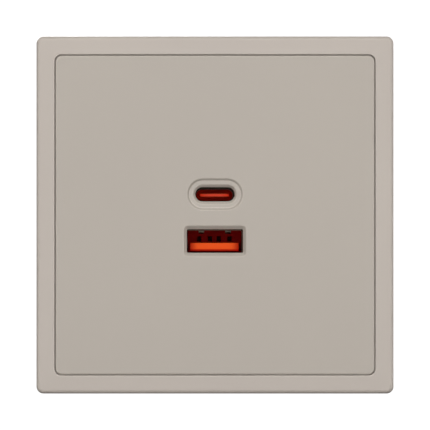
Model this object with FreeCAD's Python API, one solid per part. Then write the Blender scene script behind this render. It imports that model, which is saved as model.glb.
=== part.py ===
import FreeCAD, Part
import math
import os

os.makedirs("parts", exist_ok=True)

# A charger socket for a wall box, with a small oval port above a large rectangular one.
# Millimetres. X points right and Z up as one faces the wall, and the front faces -Y.
# The wall is the plane y = 0, and the origin is the middle of the box screw slots.

# Outer frame
frame_side = 81.0
frame_height = 9.6
frame_corner = 1.6
frame_border = 4.15
frame_edge_round = 0.9
frame_face_fall = 0.15
frame_front_thickness = 1.8
frame_wall = 1.6
frame_inner_wall = 1.3
frame_lip_round = 0.15
frame_ledge_thickness = 1.8
frame_ledge_seat = 1.5
frame_rib = 1.0
frame_rib_pitch = 16.0

# Cover plate
cover_gap = 0.3
cover_side = frame_side - 2 * (frame_border + cover_gap)
cover_corner = 1.3
cover_setback = 0.1
cover_thickness = 2.0
cover_edge_round = 0.15
cover_skirt_inset = 0.5
cover_skirt_wall = 1.2
cover_rib = 1.0
cover_rib_height = 2.0
cover_rib_pitch = 20.0
snap_leg_near = 6.0
snap_leg_width = 6.0
snap_leg_thickness = 1.3
snap_leg_gap = 0.1
snap_leg_floor_gap = 0.4
snap_hook_reach = 0.7
snap_hook_height = 0.9
snap_hook_gap = 0.15

# Port openings in the cover, as half widths and half heights
small_port_height = 4.7
small_dish = (6.35, 3.6)
small_dish_slope = 0.5
small_dish_depth = 0.55
small_lead_in = (4.975, 2.25)
small_lead_in_depth = 0.6
small_mouth = (4.475, 1.625)
large_port_height = -5.9
large_lead_in = (7.1, 3.525)
large_lead_in_round = 1.0
large_lead_in_depth = 0.8
large_mouth = (6.375, 2.675)
large_mouth_round = 0.3
port_edge_round = 0.12
port_shift = (-0.15, -0.2)
port_setback = 0.15
port_aperture_gap = 0.15
port_length = 14.0
port_wall = 0.3
port_fill_gap = 0.02

# Small port
small_inner = (4.17, 1.28)
small_tongue_half_width = 3.345
small_tongue_thickness = 0.7
small_tongue_setback = 1.0
small_tongue_length = 5.85
small_contact_count = 12
small_contact_pitch = 0.5
small_contact_width = 0.25
small_contact_thickness = 0.05
small_contact_length = 4.6
small_contact_setback = 0.4

# Large port
large_inner = (6.25, 2.56)
large_inner_round = 0.3
large_tongue_half_width = 5.55
large_tongue_thickness = 1.84
large_tongue_lift = 0.46
large_tongue_setback = 0.8
large_back_depth = 9.0
large_contact_places = (-3.5, -1.0, 1.0, 3.5)
large_contact_width = 0.8
large_contact_thickness = 0.3
large_contact_setback = 1.6
large_contact_gap = 0.05
large_slot_width = 0.95
large_slot_height = 1.15
large_slot_lift = 0.3
large_slot_depth = 2.5
finger_places = (-2.95, 3.1)
finger_width = 1.3
finger_length = 4.6
finger_tip_setback = 1.7
finger_bend = 0.75
finger_slit = 0.25

# Support ring
ring_inset = 0.5
ring_side = cover_side - 2 * ring_inset
ring_corner = 2.0
ring_thickness = 1.2
box_screw_edge = 5.55
box_screw_spacing = ring_side - 2 * box_screw_edge
box_screw_hole = 2.0
box_screw_slot_length = 7.0

# Housing
casing_half_width = 20.0
casing_half_height = 25.0
casing_chamfer = 8.0
casing_depth = 31.0
casing_wall = 1.6
block_inset = (5.0, 9.0)
block_half_width = casing_half_width - block_inset[0]
block_half_height = casing_half_height - block_inset[1]
block_setback = 1.3
block_corner = 1.0
front_wall = 1.6
flange_inset = 1.5
flange_half_width = casing_half_width
flange_half_height = casing_half_height - flange_inset
flange_thickness = 1.6
ring_opening_inset = (6.0, 7.5)
ring_opening = (
    casing_half_width - ring_opening_inset[0],
    casing_half_height - ring_opening_inset[1],
)
post_inset = 3.5
post_place = (block_half_width - post_inset, block_half_height - post_inset)
post_radius = 1.4
boss_radius = 2.6
boss_end_gap = 0.45
rail_reach = 1.5
rail_half_height = 3.0
foot_inset = (6.5, 8.1)
foot_length = 3.4
foot_radius = 2.0
vent_count = 5
vent_pitch = 3.6
vent_width = 1.4
vent_end_gap = 2.0
screw_inset = (11.0, 4.5)
screw_place = (casing_half_width - screw_inset[0], casing_half_height - screw_inset[1])
screw_radius = 1.3
screw_length = 7.8
screw_head_radius = 2.4
screw_head_height = 1.6
screw_hole_gap = 0.3
screw_boss_gap = 0.05
recess_width = 0.6
recess_depth = 0.9
recess_share = 0.7

# Push-in terminals
terminal_half_width = 13.5
terminal_inset = 4.5
terminal_height = 12.0
terminal_bottom = terminal_inset - casing_half_height
terminal_top = terminal_bottom + terminal_height
terminal_length = 14.0
terminal_proud = 0.5
terminal_window_gap = 0.1
terminal_rear_wall = 3.6
terminal_wall = 1.0
terminal_lip_reach = 1.5
terminal_lip_thickness = 1.5
terminal_lip_half_height = 4.0
chamber_middle = 6.5
chamber_half_width = 5.9
wire_pitch = 6.2
wire_rise = 4.1
wire_height = terminal_bottom + wire_rise
wire_hole = 1.6
button_drop = 3.1
button_height = terminal_top - button_drop
button_half_width = 4.0
button_half_height = 1.6
button_proud = 0.8
button_guide_gap = 0.1
button_shoulder = 0.4
button_shoulder_thickness = 1.05
button_stop_gap = 0.05
button_nose_length = 1.3
button_nose_half_width = 3.0
button_nose_half_height = 1.0
busbar_thickness = 1.0
busbar_half_width = 5.3
busbar_front_gap = 0.2
busbar_pin_half_width = 0.5
busbar_pin_rise = 2.5
busbar_pin_height = terminal_top + busbar_pin_rise
busbar_pin_tail = 0.8
spring_thickness = 0.4
spring_half_width = 5.3
spring_seat_gap = 0.2
spring_button_gap = 0.3
spring_foot_gap = 0.35
spring_loop = 1.0

# Claws
claw_height = 10.0
claw_pivot_gap = 1.2
claw_pivot = casing_half_width + claw_pivot_gap
claw_pivot_depth = 3.2
claw_thickness = 1.2
claw_half_width = 3.7
claw_fork_half_gap = 2.0
claw_arm_length = 17.0
claw_bridge_length = 2.7
claw_tooth_reach = 1.2
claw_tooth_count = 3
claw_notch_depth = 0.85
claw_notch_past = 0.1
claw_tab_length = 6.5
claw_slot_start = 2.2
claw_slot_end = 5.57
trunnion_radius = 1.0
trunnion_gap = 0.05
trunnion_length = 1.7
ear_side_gap = 0.5
ear_thickness = 1.2
ear_inner_reach = 1.0
ear_outer_reach = 1.8
ear_end = 1.5
claw_screw_offset = 3.6
claw_screw_radius = 1.25
claw_screw_length = 14.2
claw_screw_gap = 0.1
claw_screw_head_radius = 2.3
claw_screw_head_height = 1.8

# Planes of constant y, from the wall outwards (negative) and inwards (positive)
frame_front = -frame_height
cover_front = frame_front + cover_setback
cover_back = cover_front + cover_thickness
port_front = cover_back + port_setback
port_back = port_front + port_length
block_front = cover_back + block_setback
ring_front = -ring_thickness
flange_front = ring_front - flange_thickness
ledge_front = ring_front - frame_ledge_thickness
casing_back = casing_depth
casing_floor = casing_back - casing_wall
terminal_back = casing_back + terminal_proud
terminal_front = terminal_back - terminal_length
chamber_back = terminal_back - terminal_rear_wall

# Boards and what stands on them
board_thickness = 1.6
board_gap = 0.3
board_hole_gap = 0.15
board_edge_gap = 0.5
port_board_bottom = -block_half_height
port_board_top = casing_half_height - casing_wall - board_gap
power_board_bottom = terminal_top + board_edge_gap
power_board_top = port_board_top
port_board_back = port_back + board_thickness
power_board_back = casing_floor - foot_length
power_board_front = power_board_back - board_thickness
board_space = power_board_front - port_board_back
transformer_middle = 5.0
transformer_limb_share = 3 / 14
transformer_side_room = 13.0
transformer_width = 2 * (casing_half_width - transformer_side_room)
transformer_clearance = 3.65
transformer_ends = (7.4, 7.5)
transformer_limb = transformer_width * transformer_limb_share
transformer_bobbin_wall = 0.8
transformer_winding_thickness = 1.6
bulk_clearance = 4.15
bulk_length = board_space - bulk_clearance
bulk_gap = 0.3
bulk_rise = 2.8
bulk_room = 15.1
bulk_radius = (power_board_top - power_board_bottom - bulk_room) / 4
bulk_first = power_board_bottom + bulk_rise + bulk_radius
bulk_second = bulk_first + 2 * bulk_radius + bulk_gap
bulk_inset = 8.5
bulk_middle = bulk_inset - casing_half_width
bulk_places = ((bulk_middle, bulk_first), (bulk_middle, bulk_second))
suppression_rise = 5.0
suppression_inset = 3.9
suppression_room = 11.0
suppression_clearance = 6.15
suppression_size = (casing_half_width - suppression_room, board_space - suppression_clearance, 4.2)
suppression_place = (
    casing_half_width - suppression_inset - suppression_size[0] / 2,
    power_board_bottom + suppression_rise,
)
choke_flange_radius = 3.6
choke_gap = 0.5
choke_inset = 9.5
choke_place = (
    choke_inset - casing_half_width,
    bulk_second + bulk_radius + choke_gap + choke_flange_radius,
)
choke_core_radius = 1.8
choke_flange_thickness = 1.2
choke_winding_inset = 0.3
choke_clearance = 8.15
choke_height = board_space - choke_clearance
rectifier_drop = 5.1
rectifier_inset = 9.0
rectifier_place = (casing_half_width - rectifier_inset, power_board_top - rectifier_drop)
rectifier_size = (5.0, 2.4, 4.0)
output_gaps = (1.9, 1.5)
output_between = 2.0
output_low = choke_place[0] + choke_flange_radius + output_gaps[0]
output_high = rectifier_place[0] - rectifier_size[0] / 2 - output_gaps[1]
output_radius_most = 2.5
output_radius = min(output_radius_most, (output_high - output_low - output_between) / 4)
output_drop = 4.6
output_height = power_board_top - output_drop
output_places = ((output_low + output_radius, output_height), (output_high - output_radius, output_height))
output_clearance = 8.15
output_length = board_space - output_clearance
fuse_rise = 4.4
fuse_radius = 1.8
fuse_length = 8.0
fuse_gap = 2.3
fuse_place = (
    bulk_middle + bulk_radius + fuse_gap + fuse_length / 2,
    power_board_bottom + fuse_rise,
)
spreader_inset = 5.8
spreader_place = casing_half_width - spreader_inset
spreader_thickness = 1.0
spreader_clearance = 6.15
spreader_height = board_space - spreader_clearance
spreader_ends = (11.0, 9.1)
spreader_span = (power_board_bottom + spreader_ends[0], power_board_top - spreader_ends[1])
chip_sizes = ((-8.0, 6.0, 5.0, 6.2), (4.0, 12.0, 5.0, 5.0), (10.5, 2.0, 3.0, 3.0))
chip_thickness = 1.0
link_pin_count = 5
link_pin_pitch = 2.54
link_pin_side = 0.64
link_pin_drop = 1.2
link_pin_height = power_board_top - link_pin_drop
link_pin_tail = 1.2

ring_half = ring_side / 2
cover_half = cover_side / 2
frame_half = frame_side / 2
frame_opening_half = cover_half + cover_gap
small_centre = (port_shift[0], small_port_height + port_shift[1])
large_centre = (port_shift[0], large_port_height + port_shift[1])
beyond = 1.0
tolerance = 1e-3
everywhere = (-2 * casing_depth, 2 * casing_depth)


def point(x, y, z):
    return FreeCAD.Vector(x, y, z)


def box(x_span, y_span, z_span):
    """A block from three spans, each given as (low, high)."""
    spans = (x_span, y_span, z_span)
    corner = point(*[min(span) for span in spans])
    sides = [abs(span[1] - span[0]) for span in spans]
    return Part.makeBox(*sides, corner)


def around(middle, half):
    return (middle - half, middle + half)


def rod(x, z, radius, y_span):
    """A round bar along Y."""
    return Part.makeCylinder(radius, y_span[1] - y_span[0], point(x, y_span[0], z), point(0, 1, 0))


def rod_upright(x, y, radius, z_span):
    """A round bar along Z."""
    return Part.makeCylinder(radius, z_span[1] - z_span[0], point(x, y, z_span[0]), point(0, 0, 1))


def outline(half, radius, y, centre=(0.0, 0.0)):
    """A rectangle with round corners in a plane of constant y. half is (x, z)."""
    flat_x = half[0] - radius
    flat_z = half[1] - radius
    arcs = []
    for number, (side_x, side_z) in enumerate(((1, 1), (-1, 1), (-1, -1), (1, -1))):
        middle = point(centre[0] + side_x * flat_x, y, centre[1] + side_z * flat_z)
        on_arc = []
        for step in range(3):
            angle = math.radians(90 * number + 45 * step)
            on_arc.append(middle + point(radius * math.cos(angle), 0, radius * math.sin(angle)))
        arcs.append(on_arc)
    edges = []
    for number, on_arc in enumerate(arcs):
        edges.append(Part.Arc(*on_arc).toShape())
        start = on_arc[2]
        end = arcs[(number + 1) % 4][0]
        if start.distanceToPoint(end) > 1e-6:
            edges.append(Part.LineSegment(start, end).toShape())
    return Part.Wire(edges)


def slab(half, radius, y_span, centre=(0.0, 0.0)):
    """A flat piece with round corners."""
    face = Part.Face(outline(half, radius, y_span[0], centre))
    return face.extrude(point(0, y_span[1] - y_span[0], 0))


def funnel(front_half, front_round, back_half, back_round, y_span, centre):
    """A tapered cutter that starts a little in front of y_span, at the same slope."""
    part_before = 0.25
    ahead = [f + part_before * (f - b) for f, b in zip(front_half, back_half)]
    ahead_round = front_round + part_before * (front_round - back_round)
    ahead_y = y_span[0] - part_before * (y_span[1] - y_span[0])
    front = outline(ahead, ahead_round, ahead_y, centre)
    back = outline(back_half, back_round, y_span[1], centre)
    return Part.makeLoft([front, back], True, True)


def octagon(half_width, half_height, chamfer, y_span):
    """A block with its four long edges cut off at 45 degrees."""
    x = half_width
    z = half_height
    c = chamfer
    corners = [(x, c - z), (x, z - c), (x - c, z), (c - x, z)]
    corners += [(-x, z - c), (-x, c - z), (c - x, -z), (x - c, -z)]
    points = [point(px, y_span[0], pz) for px, pz in corners]
    face = Part.Face(Part.makePolygon(points + points[:1]))
    return face.extrude(point(0, y_span[1] - y_span[0], 0))


def casing_inside(gap, y_span):
    """The casing's hollow, less a gap all round."""
    wall = casing_wall + gap
    chamfer = casing_chamfer - wall * (2 - math.sqrt(2))
    return octagon(casing_half_width - wall, casing_half_height - wall, chamfer, y_span)


def prism(section, x_span):
    """A bar along X with a section of (y, z) corners."""
    points = [point(x_span[0], y, z) for y, z in section]
    face = Part.Face(Part.makePolygon(points + points[:1]))
    return face.extrude(point(x_span[1] - x_span[0], 0, 0))


def bent_strip(path, thickness, x_span):
    """Sheet metal of one thickness that follows a path of (y, z) points."""
    nodes = [FreeCAD.Vector(0, y, z) for y, z in path]
    normals = []
    for start, end in zip(nodes, nodes[1:]):
        along = (end - start).normalize()
        normals.append(FreeCAD.Vector(0, -along.z, along.y))
    first = []
    second = []
    for number, node in enumerate(nodes):
        before = normals[max(number - 1, 0)]
        after = normals[min(number, len(normals) - 1)]
        mitre = (before + after).normalize()
        reach = thickness / 2 / mitre.dot(after)
        first.append(node + mitre * reach)
        second.append(node - mitre * reach)
    section = [(place.y, place.z) for place in first + second[::-1]]
    return prism(section, x_span)


def join(first, others):
    shape = first
    for other in others:
        shape = shape.fuse(other)
    return shape.removeSplitter()


def cut_all(shape, cutters):
    for cutter in cutters:
        shape = shape.cut(cutter)
    return shape


def edges_at(shape, y, half, centre=(0.0, 0.0)):
    """Edges in the plane y that lie within a rectangle. half is (x, z)."""
    found = []
    for edge in shape.Edges:
        bounds = edge.BoundBox
        flat = max(abs(bounds.YMin - y), abs(bounds.YMax - y)) < tolerance
        reach_x = max(abs(bounds.XMin - centre[0]), abs(bounds.XMax - centre[0]))
        reach_z = max(abs(bounds.ZMin - centre[1]), abs(bounds.ZMax - centre[1]))
        if flat and reach_x < half[0] + tolerance and reach_z < half[1] + tolerance:
            found.append(edge)
    return found


def four_corners(place):
    return [(x * place[0], z * place[1]) for x in (1, -1) for z in (1, -1)]


def half_turn(shape):
    """The same piece on the other side, turned by 180 degrees about Y."""
    turned = shape.copy()
    turned.rotate(point(0, 0, 0), point(0, 1, 0), 180)
    return turned


def make_outer_frame():
    """One moulding: a face that falls outwards, two walls behind it, and a ledge inside."""
    shoulder = frame_front + frame_face_fall
    outer = (frame_half, frame_half)
    opening = (frame_opening_half, frame_opening_half)
    opening_round = cover_corner + cover_gap
    body = slab(outer, frame_corner, (shoulder, 0))
    face = Part.makeLoft(
        [outline(outer, frame_corner, shoulder), outline(opening, opening_round, frame_front)],
        True,
        True,
    )
    body = join(body, [face])
    body = body.makeFillet(frame_edge_round, edges_at(body, shoulder, outer))
    body = body.cut(slab(opening, opening_round, (frame_front - beyond, ledge_front)))
    ledge_half = ring_half - frame_ledge_seat
    body = body.cut(slab((ledge_half, ledge_half), opening_round, (ledge_front - beyond, beyond)))
    inner_wall_half = frame_opening_half + frame_inner_wall
    hidden = slab((inner_wall_half, inner_wall_half), opening_round, (ring_front, beyond))
    body = body.cut(hidden)
    groove_half = frame_half - frame_wall
    groove_span = (frame_front + frame_front_thickness, beyond)
    groove = slab((groove_half, groove_half), frame_corner, groove_span)
    groove = groove.cut(slab((inner_wall_half, inner_wall_half), opening_round, groove_span))
    body = body.cut(groove)
    ribs = []
    for step in (-1.5, -0.5, 0.5, 1.5):
        across = around(step * frame_rib_pitch, frame_rib / 2)
        for side in (1, -1):
            reach = (side * inner_wall_half, side * groove_half)
            depth = (groove_span[0], ring_front)
            ribs.append(box(reach, depth, across))
            ribs.append(box(across, depth, reach))
    body = join(body, ribs)
    return body.makeFillet(frame_lip_round, edges_at(body, frame_front, opening))


def make_cover_plate():
    """One moulding: plate, port openings, skirt, ribs and four snap legs."""
    plate = slab((cover_half, cover_half), cover_corner, (cover_front, cover_back))
    plate = plate.makeFillet(cover_edge_round, edges_at(plate, cover_front, (cover_half, cover_half)))
    dish_floor = cover_front + small_dish_depth
    small_place = (0.0, small_port_height)
    dish_inner = [half - small_dish_slope for half in small_dish]
    dish = funnel(
        small_dish, small_dish[1], dish_inner, dish_inner[1], (cover_front, dish_floor), small_place
    )
    mouth_start = dish_floor + small_lead_in_depth
    lead_in = funnel(
        small_lead_in, small_lead_in[1], small_mouth, small_mouth[1],
        (dish_floor, mouth_start), small_place,
    )
    mouth = slab(small_mouth, small_mouth[1], (dish_floor, cover_back + beyond), small_place)
    large_place = (0.0, large_port_height)
    large_start = cover_front + large_lead_in_depth
    large_funnel = funnel(
        large_lead_in, large_lead_in_round, large_mouth, large_mouth_round,
        (cover_front, large_start), large_place,
    )
    large_through = (cover_front, cover_back + beyond)
    large_hole = slab(large_mouth, large_mouth_round, large_through, large_place)
    plate = cut_all(plate, [dish, lead_in, mouth, large_funnel, large_hole])
    rims = edges_at(plate, cover_front, small_dish, small_place)
    rims += edges_at(plate, dish_floor, small_lead_in, small_place)
    rims += edges_at(plate, cover_front, large_lead_in, large_place)
    plate = plate.makeFillet(port_edge_round, rims)
    skirt_half = cover_half - cover_skirt_inset
    skirt_inner = skirt_half - cover_skirt_wall
    skirt_span = (cover_back, ledge_front)
    skirt = slab((skirt_half, skirt_half), cover_corner, skirt_span)
    skirt = skirt.cut(slab((skirt_inner, skirt_inner), cover_corner / 2, skirt_span))
    ribs = []
    rib_start = block_half_height + 2 * snap_leg_thickness
    rib_depth = (cover_back, cover_back + cover_rib_height)
    for step in (-1, 0, 1):
        across = around(step * cover_rib_pitch, cover_rib / 2)
        for side in (1, -1):
            reach = (side * rib_start, side * skirt_inner)
            ribs.append(box(reach, rib_depth, across))
            ribs.append(box(across, rib_depth, reach))
    legs = []
    leg_near = block_half_height + snap_leg_gap
    leg_end = flange_front - snap_leg_floor_gap
    for side in (1, -1):
        for up in (1, -1):
            across = (side * snap_leg_near, side * (snap_leg_near + snap_leg_width))
            height = (up * leg_near, up * (leg_near + snap_leg_thickness))
            leg = box(across, (cover_back, leg_end), height)
            hook = [
                (leg_end, up * leg_near),
                (leg_end - snap_hook_height, up * leg_near),
                (leg_end - snap_hook_height, up * (leg_near - snap_hook_reach)),
                (leg_end - snap_hook_height / 2, up * (leg_near - snap_hook_reach)),
            ]
            legs.append(leg.fuse(prism(hook, across)))
    return join(plate, [skirt] + ribs + legs)


def make_support_ring():
    """Stamped steel, with ears bent back that carry the claws."""
    ring = slab((ring_half, ring_half), ring_corner, (ring_front, 0))
    through = (ring_front - beyond, beyond)
    cutters = [slab(ring_opening, 1.0, through)]
    slot_half = box_screw_slot_length / 2
    for side in (1, -1):
        place = side * box_screw_spacing / 2
        cutters.append(slab((slot_half, box_screw_hole), box_screw_hole, through, (place, 0)))
        cutters.append(slab((box_screw_hole, slot_half), box_screw_hole, through, (0, place)))
    for x, z in four_corners(screw_place):
        cutters.append(rod(x, z, screw_radius + screw_hole_gap, through))
    screw_x = claw_pivot + claw_screw_offset
    claw_hole = rod(screw_x, claw_height, claw_screw_radius + claw_screw_gap, through)
    cutters += [claw_hole, half_turn(claw_hole)]
    ring = cut_all(ring, cutters)
    ears = []
    across = (claw_pivot - ear_inner_reach, claw_pivot + ear_outer_reach)
    ear_inner = claw_half_width + ear_side_gap
    for side in (1, -1):
        near = claw_height + side * ear_inner
        height = (near, near + side * ear_thickness)
        ear = box(across, (ring_front / 2, claw_pivot_depth + ear_end), height)
        hole_span = (min(height) - beyond, max(height) + beyond)
        hole_radius = trunnion_radius + trunnion_gap
        ear = ear.cut(rod_upright(claw_pivot, claw_pivot_depth, hole_radius, hole_span))
        ears += [ear, half_turn(ear)]
    return join(ring, ears)


def make_claw():
    """Stamped claw: forked arm, toothed tip, slotted tab and two trunnions."""
    half = claw_thickness / 2
    x_span = around(claw_pivot, half)
    z_span = around(claw_height, claw_half_width)
    arm_end = claw_pivot_depth + claw_arm_length
    arm = box(x_span, (claw_pivot_depth - half, arm_end), z_span)
    fork_end = arm_end - claw_bridge_length
    fork_start = claw_pivot_depth + half
    fork_gap = around(claw_height, claw_fork_half_gap)
    arm = arm.cut(box(around(claw_pivot, claw_thickness), (fork_start, fork_end), fork_gap))
    tip_outer = claw_pivot + half + claw_tooth_reach
    tip = box((claw_pivot + half, tip_outer), (arm_end - claw_thickness, arm_end), z_span)
    tooth_pitch = 2 * claw_half_width / claw_tooth_count
    for number in range(1, claw_tooth_count):
        middle = z_span[0] + number * tooth_pitch
        notch = [(tip_outer + claw_notch_past, middle + side * tooth_pitch / 3) for side in (1, -1)]
        notch.append((tip_outer - claw_notch_depth, middle))
        points = [point(x, arm_end - claw_thickness - beyond, z) for x, z in notch]
        face = Part.Face(Part.makePolygon(points + points[:1]))
        tip = tip.cut(face.extrude(point(0, claw_thickness + 2 * beyond, 0)))
    tab_span = (claw_pivot - half, claw_pivot + claw_tab_length)
    tab = box(tab_span, around(claw_pivot_depth, half), z_span)
    slot_span = (claw_pivot + claw_slot_start, claw_pivot + claw_slot_end)
    slot_half = claw_screw_radius + claw_screw_gap
    slot_depth = around(claw_pivot_depth, claw_thickness)
    tab = tab.cut(box(slot_span, slot_depth, around(claw_height, slot_half)))
    pins = []
    for low in (z_span[0] - trunnion_length, z_span[1]):
        height = (low, low + trunnion_length)
        pins.append(rod_upright(claw_pivot, claw_pivot_depth, trunnion_radius, height))
    return join(arm, [tab, tip] + pins)


def screw_head(place, radius, height, seat):
    """A pan head that sits on the plane y = seat, with a cross recess."""
    x, z = place
    front = seat - height
    head = rod(x, z, radius, (front, seat))
    head = head.makeFillet(height / 4, edges_at(head, front, (radius, radius), place))
    depth = (front - beyond, front + recess_depth)
    reach = around(x, radius * recess_share)
    rise = around(z, radius * recess_share)
    flat = box(reach, depth, around(z, recess_width / 2))
    upright = box(around(x, recess_width / 2), depth, rise)
    return cut_all(head, [flat, upright])


def make_claw_screw():
    x = claw_pivot + claw_screw_offset
    head = screw_head((x, claw_height), claw_screw_head_radius, claw_screw_head_height, ring_front)
    shank = rod(x, claw_height, claw_screw_radius, (ring_front, ring_front + claw_screw_length))
    return join(head, [shank])


def make_housing_screws():
    screws = []
    for x, z in four_corners(screw_place):
        head = screw_head((x, z), screw_head_radius, screw_head_height, flange_front)
        shank = rod(x, z, screw_radius, (flange_front, flange_front + screw_length))
        screws.append(join(head, [shank]))
    return Part.makeCompound(screws)


def make_housing_front():
    """The insulating front: a raised block round the ports, a flange and four posts."""
    block = slab((block_half_width, block_half_height), block_corner, (block_front, flange_front))
    flange = slab((flange_half_width, flange_half_height), block_corner, (flange_front, ring_front))
    body = join(block, [flange])
    hollow_front = block_front + front_wall
    inner = (block_half_width - front_wall, block_half_height - front_wall)
    body = body.cut(slab(inner, block_corner, (hollow_front, beyond)))
    through = (block_front - beyond, hollow_front + beyond)
    small_outer = [half + port_wall + port_aperture_gap for half in small_inner]
    large_outer = [half + port_wall + port_aperture_gap for half in large_inner]
    cutters = [slab(small_outer, small_outer[1], through, small_centre)]
    cutters.append(slab(large_outer, large_inner_round + port_wall, through, large_centre))
    for x, z in four_corners(screw_place):
        cutters.append(rod(x, z, screw_radius + screw_hole_gap, (flange_front - beyond, beyond)))
    hook_end = flange_front - snap_leg_floor_gap
    pocket_depth = (hook_end - snap_hook_height - snap_hook_gap, hook_end + snap_hook_gap)
    pocket_floor = block_half_height + snap_leg_gap - snap_hook_reach - snap_hook_gap
    for side in (1, -1):
        near = side * (snap_leg_near - snap_hook_gap)
        far = side * (snap_leg_near + snap_leg_width + snap_hook_gap)
        for up in (1, -1):
            height = (up * pocket_floor, up * (block_half_height + beyond))
            cutters.append(box((near, far), pocket_depth, height))
    body = cut_all(body, cutters)
    posts = [rod(x, z, post_radius, (hollow_front, port_back)) for x, z in four_corners(post_place)]
    return join(body, posts)


def make_rear_casing():
    """The deep moulded casing, with bosses, rails, feet, vents and the terminal window."""
    outer = octagon(casing_half_width, casing_half_height, casing_chamfer, (0, casing_back))
    hollow = casing_inside(0.0, (-beyond, casing_floor))
    shell = outer.cut(hollow)
    boss_span = (0, port_back - boss_end_gap)
    extras = []
    holes = []
    for x, z in four_corners(screw_place):
        side = math.copysign(1, z)
        boss = rod(x, z, boss_radius, boss_span)
        web_reach = (z, side * (casing_half_height - casing_wall / 2))
        extras += [boss, box(around(x, boss_radius / 2), boss_span, web_reach)]
        holes.append(rod(x, z, screw_radius + screw_boss_gap, (-beyond, boss_span[1] + beyond)))
    rail_outer = casing_half_width - casing_wall / 2
    rail_inner = casing_half_width - casing_wall - rail_reach
    for side in (1, -1):
        rail_span = (side * rail_inner, side * rail_outer)
        rail_depth = (port_board_back, power_board_front)
        extras.append(box(rail_span, rail_depth, around(0, rail_half_height)))
    foot_reach = casing_half_width - foot_inset[0]
    foot_span = (power_board_back, casing_floor + casing_wall / 2)
    for x in (foot_reach, -foot_reach):
        for z in (power_board_top - foot_inset[1], power_board_bottom + foot_radius):
            extras.append(rod(x, z, foot_radius, foot_span))
    window_x = around(0, terminal_half_width + terminal_window_gap)
    window_z = (terminal_bottom - terminal_window_gap, terminal_top + terminal_window_gap)
    holes.append(box(window_x, (casing_floor - beyond, casing_back + beyond), window_z))
    vent_first = -(vent_count - 1) / 2 * vent_pitch
    vent_depth = (port_board_back + vent_end_gap, power_board_front - vent_end_gap)
    for number in range(vent_count):
        across = around(vent_first + number * vent_pitch, vent_width / 2)
        for side in (1, -1):
            near = side * (casing_half_height - 2 * casing_wall)
            far = side * (casing_half_height + beyond)
            holes.append(box(across, vent_depth, (near, far)))
    return cut_all(join(shell, extras), holes)


def make_small_shell():
    outer = [half + port_wall for half in small_inner]
    span = (port_front, port_back)
    shell = slab(outer, outer[1], span, small_centre)
    return shell.cut(slab(small_inner, small_inner[1], everywhere, small_centre))


def make_small_tongue():
    """The insulator: a base that fills the shell's rear and a thin tongue."""
    filled = [half - port_fill_gap for half in small_inner]
    tongue_front = port_front + small_tongue_setback
    base_front = tongue_front + small_tongue_length
    base = slab(filled, filled[1], (base_front, port_back), small_centre)
    x_span = around(small_centre[0], small_tongue_half_width)
    z_span = around(small_centre[1], small_tongue_thickness / 2)
    tongue = box(x_span, (tongue_front, base_front), z_span)
    return join(base, [tongue])


def make_small_contacts():
    strips = []
    start = port_front + small_tongue_setback + small_contact_setback
    depth = (start, start + small_contact_length)
    surface = small_tongue_thickness / 2
    for number in range(small_contact_count):
        step = number - (small_contact_count - 1) / 2
        across = around(small_centre[0] + step * small_contact_pitch, small_contact_width / 2)
        for side in (1, -1):
            low = small_centre[1] + side * surface
            strips.append(box(across, depth, (low, low + side * small_contact_thickness)))
    return Part.makeCompound(strips)


def make_large_shell():
    """Folded steel shell, with two sprung fingers cut from its top wall."""
    outer = [half + port_wall for half in large_inner]
    outer_round = large_inner_round + port_wall
    shell = slab(outer, outer_round, (port_front, port_back), large_centre)
    shell = shell.cut(slab(large_inner, large_inner_round, everywhere, large_centre))
    wall_middle = large_centre[1] + large_inner[1] + port_wall / 2
    tip = port_front + finger_tip_setback
    root = tip + finger_length
    fingers = []
    for place in finger_places:
        middle = large_centre[0] + place
        slit = box(
            around(middle, finger_width / 2 + finger_slit),
            (tip - finger_slit, root),
            around(wall_middle, port_wall),
        )
        shell = shell.cut(slit)
        path = [(root + finger_slit, wall_middle), (root - finger_slit, wall_middle)]
        path += [(tip + finger_length / 4, wall_middle - finger_bend), (tip, wall_middle - finger_bend / 2)]
        fingers.append(bent_strip(path, port_wall, around(middle, finger_width / 2)))
    return join(shell, fingers)


def make_large_insulator():
    """Base with four dark slots, and the thick tongue low in the opening."""
    filled = [half - port_fill_gap for half in large_inner]
    back_wall = port_front + large_back_depth
    base = slab(filled, large_inner_round, (back_wall, port_back), large_centre)
    tongue_low = large_centre[1] - large_inner[1] + large_tongue_lift
    tongue_high = tongue_low + large_tongue_thickness
    tongue_front = port_front + large_tongue_setback
    x_span = around(large_centre[0], large_tongue_half_width)
    tongue = box(x_span, (tongue_front, back_wall), (tongue_low, tongue_high))
    body = join(base, [tongue])
    cutters = []
    groove_depth = large_contact_thickness + 2 * large_contact_gap
    groove_half = large_contact_width / 2 + large_contact_gap
    slot_low = tongue_high + large_slot_lift
    for place in large_contact_places:
        middle = large_centre[0] + place
        groove_start = tongue_front + large_contact_setback - large_contact_gap
        groove_span = (groove_start, port_back + beyond)
        groove_rise = (tongue_high - groove_depth, tongue_high)
        cutters.append(box(around(middle, groove_half), groove_span, groove_rise))
        slot_span = (back_wall - beyond, back_wall + large_slot_depth)
        slot_rise = (slot_low, slot_low + large_slot_height)
        cutters.append(box(around(middle, large_slot_width / 2), slot_span, slot_rise))
    return cut_all(body, cutters)


def large_contact_span():
    tongue_high = large_centre[1] - large_inner[1] + large_tongue_lift + large_tongue_thickness
    top = tongue_high - large_contact_gap
    return (top - large_contact_thickness, top)


def make_large_contacts():
    strips = []
    start = port_front + large_tongue_setback + large_contact_setback
    for place in large_contact_places:
        across = around(large_centre[0] + place, large_contact_width / 2)
        depth = (start, port_board_back + link_pin_tail)
        strips.append(box(across, depth, large_contact_span()))
    return Part.makeCompound(strips)


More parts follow.
